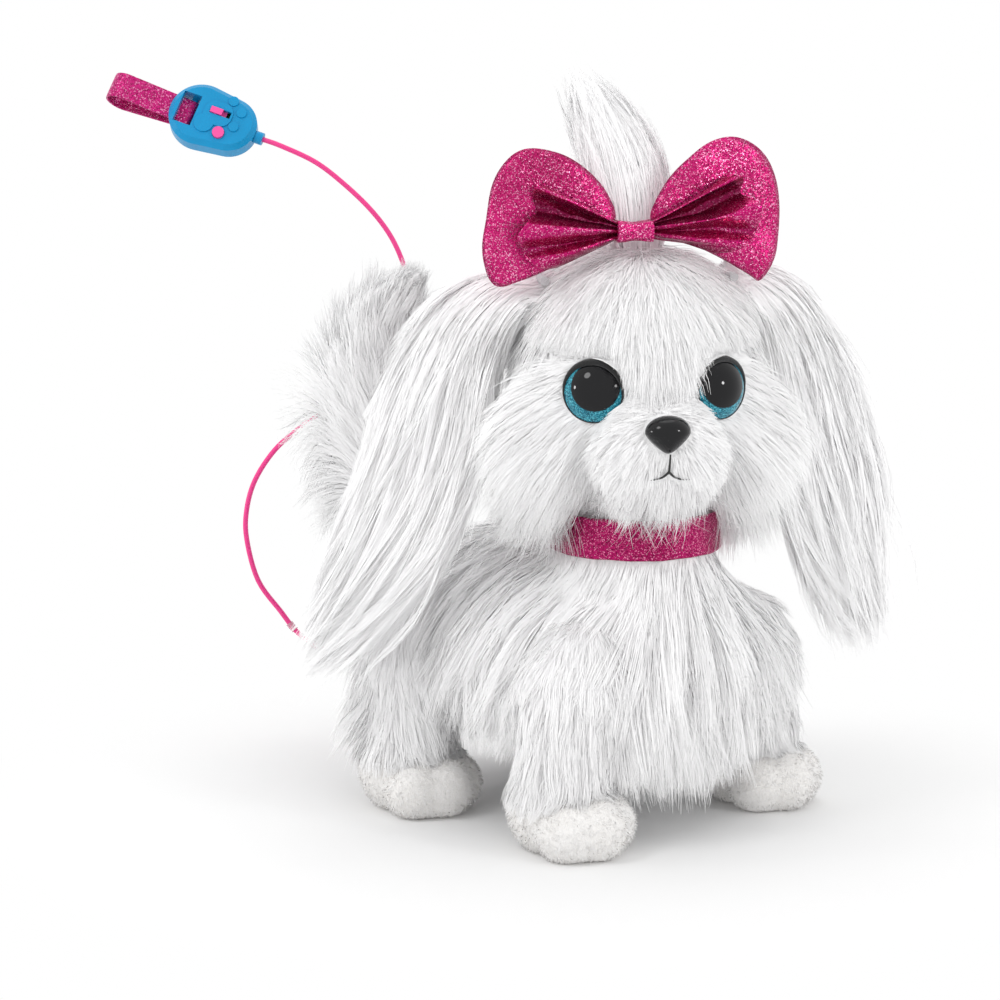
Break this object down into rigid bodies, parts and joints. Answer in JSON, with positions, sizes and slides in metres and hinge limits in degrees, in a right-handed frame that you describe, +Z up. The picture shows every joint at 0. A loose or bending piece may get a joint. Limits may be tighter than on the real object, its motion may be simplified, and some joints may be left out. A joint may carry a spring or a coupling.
{
  "type": "walking plush toy dog",
  "caption": "White long-haired plush puppy with a hair bow that walks on motor-driven legs and is led by a wired hand remote on a leash.",
  "frame": {"origin": "middle of the footprint on the floor, remote included", "axes": "+Z up, the puppy faces -Y, its left side is +X"},
  "size_m": [0.2387, 0.3946, 0.344],
  "materials": {
    "white_plush": "long soft pile",
    "paw_plush": "short soft pile",
    "glitter_fabric": "glitter",
    "foil_fabric": "metallic foil",
    "thread": "stitched",
    "grey_plastic": "moulded",
    "dark_plastic": "moulded",
    "nylon": "moulded",
    "black_gloss": "polished",
    "blue_plastic": "polished",
    "pink_plastic": "polished",
    "board_green": "lacquered",
    "steel": "bright",
    "brass": "turned",
    "cell_jacket": "printed jacket, plain",
    "cord_pink": "smooth jacket",
    "grey_rubber": "matt"
  },
  "bodies": {
    "dog": {"body_plush": "white_plush", "collar": "glitter_fabric", "chassis_left": "grey_plastic", "chassis_right": "grey_plastic", "chassis_screws": "steel", "battery_tray": "dark_plastic", "batteries": "cell_jacket", "battery_contacts": "steel", "battery_door": "grey_plastic", "motor": "steel", "gearbox_frame": "grey_plastic", "speaker": "dark_plastic", "circuit_board": "board_green", "hip_axles": "steel", "axle_clips": "steel", "tail_bracket": "grey_plastic", "neck_post": "grey_plastic", "neck_cap": "grey_plastic", "leash_gland": "grey_rubber", "leash_cord": "cord_pink", "remote_top": "blue_plastic", "remote_bottom": "blue_plastic", "remote_board": "board_green", "remote_screws": "steel", "wrist_strap": "glitter_fabric"},
    "slider": {"power_slider": "pink_plastic"},
    "button": {"walk_button": "pink_plastic"},
    "rotor": {"motor_pinion": "brass"},
    "idler": {"idler_gear": "nylon"},
    "crank": {"crankshaft": "steel", "main_gear": "nylon"},
    "left_link": {"left_link": "nylon"},
    "right_link": {"right_link": "nylon"},
    "tail": {"tail_lever": "grey_plastic", "tail_plush": "white_plush"},
    "head": {"head_frame": "grey_plastic", "head_plush": "white_plush", "right_eye": "black_gloss", "left_eye": "black_gloss", "face_washers": "grey_plastic", "nose": "black_gloss", "mouth_stitch": "thread", "bow_wings": "glitter_fabric", "bow_loops": "foil_fabric", "bow_knot": "glitter_fabric", "topknot": "white_plush"},
    "right_ear": {"right_ear": "white_plush"},
    "left_ear": {"left_ear": "white_plush"},
    "front_left_leg": {"front_left_leg_frame": "grey_plastic", "front_left_leg_plush": "white_plush", "front_left_paw": "paw_plush"},
    "front_right_leg": {"front_right_leg_frame": "grey_plastic", "front_right_leg_plush": "white_plush", "front_right_paw": "paw_plush"},
    "rear_left_leg": {"rear_left_leg_frame": "grey_plastic", "rear_left_leg_plush": "white_plush", "rear_left_paw": "paw_plush"},
    "rear_right_leg": {"rear_right_leg_frame": "grey_plastic", "rear_right_leg_plush": "white_plush", "rear_right_paw": "paw_plush"}
  },
  "joints": [
    {"name": "head_turn", "type": "hinge", "parent": "dog", "child": "head", "pos_m": [0.0022, -0.1326, 0.166], "axis": [0, 0, 1], "range_deg": [0, 60]},
    {"name": "front_left_leg_swing", "type": "hinge", "parent": "dog", "child": "front_left_leg", "pos_m": [0.0022, -0.1496, 0.078], "axis": [1, 0, 0], "range_deg": [-9, 9]},
    {"name": "front_right_leg_swing", "type": "hinge", "parent": "dog", "child": "front_right_leg", "pos_m": [0.0022, -0.1496, 0.078], "axis": [1, 0, 0], "range_deg": [-9, 9]},
    {"name": "rear_left_leg_swing", "type": "hinge", "parent": "dog", "child": "rear_left_leg", "pos_m": [0.0022, -0.0476, 0.078], "axis": [1, 0, 0], "range_deg": [-9, 9]},
    {"name": "rear_right_leg_swing", "type": "hinge", "parent": "dog", "child": "rear_right_leg", "pos_m": [0.0022, -0.0476, 0.078], "axis": [1, 0, 0], "range_deg": [-9, 9]},
    {"name": "left_link_slide", "type": "slide", "parent": "dog", "child": "left_link", "axis": [0, 1, 0], "range_m": [-0.0032, 0.0032]},
    {"name": "right_link_slide", "type": "slide", "parent": "dog", "child": "right_link", "axis": [0, 1, 0], "range_m": [-0.0032, 0.0032]},
    {"name": "tail_wag", "type": "hinge", "parent": "dog", "child": "tail", "pos_m": [0.0022, -0.0296, 0.098], "axis": [0, 0, 1], "range_deg": [-11.3, 11.3]},
    {"name": "crank_spin", "type": "hinge", "parent": "dog", "child": "crank", "pos_m": [0.0022, -0.0906, 0.098], "axis": [1, 0, 0], "continuous": true},
    {"name": "idler_spin", "type": "hinge", "parent": "dog", "child": "idler", "pos_m": [0.0022, -0.1103, 0.098], "axis": [1, 0, 0], "continuous": true},
    {"name": "motor_spin", "type": "hinge", "parent": "dog", "child": "rotor", "pos_m": [0.0022, -0.13, 0.098], "axis": [1, 0, 0], "continuous": true},
    {"name": "right_ear_lift", "type": "hinge", "parent": "head", "child": "right_ear", "pos_m": [-0.03198, -0.10444, 0.254], "axis": [0.5446, 0.8387, 0], "range_deg": [0, 36]},
    {"name": "left_ear_lift", "type": "hinge", "parent": "head", "child": "left_ear", "pos_m": [0.04183, -0.15237, 0.254], "axis": [-0.5446, -0.8387, 0], "range_deg": [0, 36]},
    {"name": "slider_move", "type": "slide", "parent": "dog", "child": "slider", "axis": [0.5627, -0.7637, -0.3164], "range_m": [0, 0.004]},
    {"name": "button_press", "type": "slide", "parent": "dog", "child": "button", "axis": [0.6067, 0.6415, -0.4695], "range_m": [0, 0.001], "stiffness_N_per_m": 400, "springref_m": -0.0005}
  ],
  "couplings": [
    {"joint": "rear_left_leg_swing", "follows": "front_left_leg_swing", "ratio": 1},
    {"joint": "front_right_leg_swing", "follows": "front_left_leg_swing", "ratio": -1},
    {"joint": "rear_right_leg_swing", "follows": "front_left_leg_swing", "ratio": -1},
    {"joint": "left_link_slide", "follows": "front_left_leg_swing", "m_per_rad": -0.02},
    {"joint": "right_link_slide", "follows": "front_left_leg_swing", "m_per_rad": 0.02},
    {"joint": "tail_wag", "follows": "front_left_leg_swing", "ratio": -1.25},
    {"joint": "idler_spin", "follows": "crank_spin", "ratio": -3},
    {"joint": "motor_spin", "follows": "crank_spin", "ratio": 9}
  ]
}
